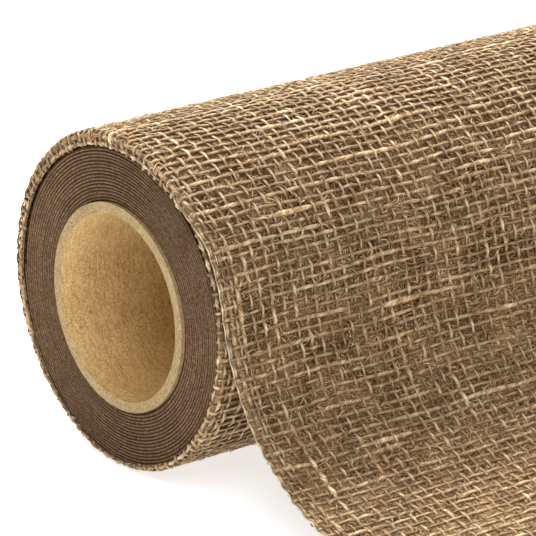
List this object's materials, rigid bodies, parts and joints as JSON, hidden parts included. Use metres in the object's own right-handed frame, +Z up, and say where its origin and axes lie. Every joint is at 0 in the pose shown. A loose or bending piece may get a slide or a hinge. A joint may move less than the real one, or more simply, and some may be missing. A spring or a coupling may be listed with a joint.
{
  "type": "ribbon spool",
  "caption": "Flangeless roll of woven burlap ribbon on a paper core, with a slack outer turn and a tail that falls forward to the table.",
  "frame": {"origin": "middle of the core's bore, on the roll's axis and halfway across the ribbon's width", "axes": "+X along the roll's axis, +Z up; the ribbon's tail leaves the front of the roll, towards -Y"},
  "size_m": [0.1534, 0.1792, 0.0718],
  "materials": {
    "kraft_liner": "matte",
    "paperboard": "matte",
    "kraft_outer": "matte",
    "tape": "matte",
    "wound_cloth": "matte",
    "loose_cloth": "matte"
  },
  "bodies": {
    "loose_turn": {"ribbon_outer_turn": "loose_cloth"},
    "wound_roll": {"core_liner_ply": "kraft_liner", "core_body_ply_1": "paperboard", "core_body_ply_2": "paperboard", "core_body_ply_3": "paperboard", "core_outer_ply": "kraft_outer", "starter_tape": "tape", "ribbon_wound_turns": "wound_cloth"},
    "tail": {"ribbon_tail_fall": "loose_cloth"},
    "tail_end": {"ribbon_tail_end": "loose_cloth"}
  },
  "joints": [
    {"name": "roll_turn", "type": "hinge", "parent": "loose_turn", "child": "wound_roll", "pos_m": [0, 0, 0], "axis": [1, 0, 0], "continuous": true},
    {"name": "tail_lift", "type": "hinge", "parent": "loose_turn", "child": "tail", "pos_m": [0, -0.03562, 0.00705], "axis": [-1, 0, 0], "range_deg": [0, 50]},
    {"name": "tail_end_lift", "type": "hinge", "parent": "tail", "child": "tail_end", "pos_m": [0, -0.10472, -0.03388], "axis": [-1, 0, 0], "range_deg": [0, 75]}
  ]
}
